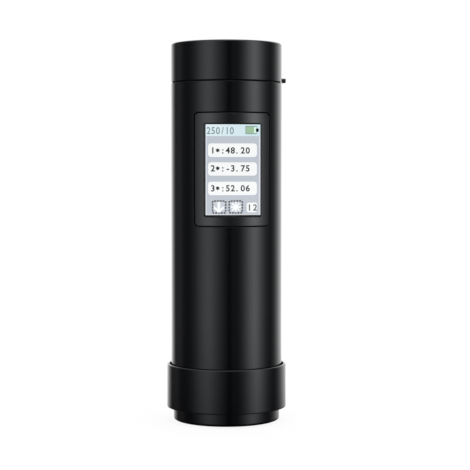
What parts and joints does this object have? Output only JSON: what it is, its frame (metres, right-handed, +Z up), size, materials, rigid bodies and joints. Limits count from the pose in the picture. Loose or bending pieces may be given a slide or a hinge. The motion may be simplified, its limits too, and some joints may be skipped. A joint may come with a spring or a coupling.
{
  "type": "portable colorimeter",
  "caption": "Upright tube-shaped hand colorimeter with a screen panel flush in its wall, a pull-off lid on top and a calibration cap on the measuring end.",
  "frame": {"origin": "centre of the standing face, on the surface that the instrument stands on", "axes": "+Z up along the tube, the screen faces -Y, the power key points along +X"},
  "size_m": [0.0539, 0.0538, 0.1697],
  "materials": {
    "shell_black": "moulded, high gloss black",
    "panel_black": "moulded, satin gloss black",
    "screen_glass": "clear touch glass",
    "display": "lit display",
    "sealing_rubber": "matt black rubber",
    "steel_screw": "zinc plated steel",
    "pressed_steel": "pressed steel sheet",
    "nose_metal": "turned aluminium, black anodised",
    "optic_glass": "clear optical glass",
    "white_sphere": "white diffuse moulding",
    "board_green": "printed circuit board",
    "board_black": "black printed circuit board",
    "led_white": "LED package",
    "chip_black": "moulded chip package",
    "shield_metal": "tinned shield can",
    "connector_ivory": "moulded connector",
    "barrel_black": "matt black anodised",
    "chassis_grey": "moulded dark grey",
    "cell_wrap": "heat-shrink sleeve over a steel can",
    "strap_fabric": "woven strap",
    "ribbon_amber": "polyimide ribbon",
    "lead_black": "insulated lead",
    "lead_red": "insulated lead",
    "socket_steel": "stainless socket shell",
    "light_clear": "clear light pipe",
    "deck_black": "moulded, fine matt black",
    "spring_steel": "spring wire",
    "key_black": "moulded, gloss black",
    "cap_black": "moulded, high gloss black",
    "grip_felt": "short pile felt",
    "tile_white": "glazed white reference tile",
    "cushion_foam": "closed cell foam"
  },
  "bodies": {
    "instrument": {"main_tube": "shell_black", "screen_bezel": "panel_black", "bezel_gasket": "sealing_rubber", "touch_glass": "screen_glass", "display_panel": "display", "display_frame": "pressed_steel", "display_screws": "steel_screw", "nose_plate": "nose_metal", "nose_seal": "sealing_rubber", "nose_screws": "steel_screw", "aperture_glass": "optic_glass", "sphere_lower": "white_sphere", "sphere_upper": "white_sphere", "sphere_screws": "steel_screw", "led_board": "board_black", "leds": "led_white", "led_screws": "steel_screw", "sensor_barrel": "barrel_black", "sensor_lens": "optic_glass", "sensor_board": "board_green", "sensor_chip": "chip_black", "sensor_screws": "steel_screw", "chassis": "chassis_grey", "head_screws": "steel_screw", "neck_screws": "steel_screw", "battery_cell": "cell_wrap", "cell_guard_board": "board_green", "battery_strap": "strap_fabric", "main_board": "board_green", "board_screws": "steel_screw", "board_chips": "chip_black", "radio_module": "shield_metal", "buzzer": "chip_black", "board_sockets": "connector_ivory", "display_ribbon": "ribbon_amber", "charge_lead": "lead_black", "sensor_lead": "lead_black", "battery_lead": "lead_red", "neck": "deck_black", "lid_seal": "sealing_rubber", "lid_washer": "deck_black", "charge_board": "board_green", "charge_screws": "steel_screw", "usb_socket": "socket_steel", "charge_light": "led_white", "light_pipe": "light_clear", "top_deck": "deck_black", "deck_screws": "steel_screw", "key_switch": "chip_black"},
    "lid": {"top_lid": "shell_black"},
    "key": {"power_key": "key_black", "key_spring": "spring_steel"},
    "calibration_cap": {"cap_shell": "cap_black", "foot_pad": "sealing_rubber", "grip_ring": "grip_felt", "tile_cushion": "cushion_foam", "white_tile": "tile_white", "tile_ring": "nose_metal", "tile_screws": "steel_screw"}
  },
  "joints": [
    {"name": "lid_lift", "type": "slide", "parent": "instrument", "child": "lid", "axis": [0, 0, 1], "range_m": [0, 0.03]},
    {"name": "key_press", "type": "slide", "parent": "instrument", "child": "key", "axis": [-1, 0, 0], "range_m": [0, 0.0005], "stiffness_N_per_m": 800, "springref_m": -0.0005},
    {"name": "cap_pull", "type": "slide", "parent": "instrument", "child": "calibration_cap", "axis": [0, 0, -1], "range_m": [0, 0.03]}
  ]
}
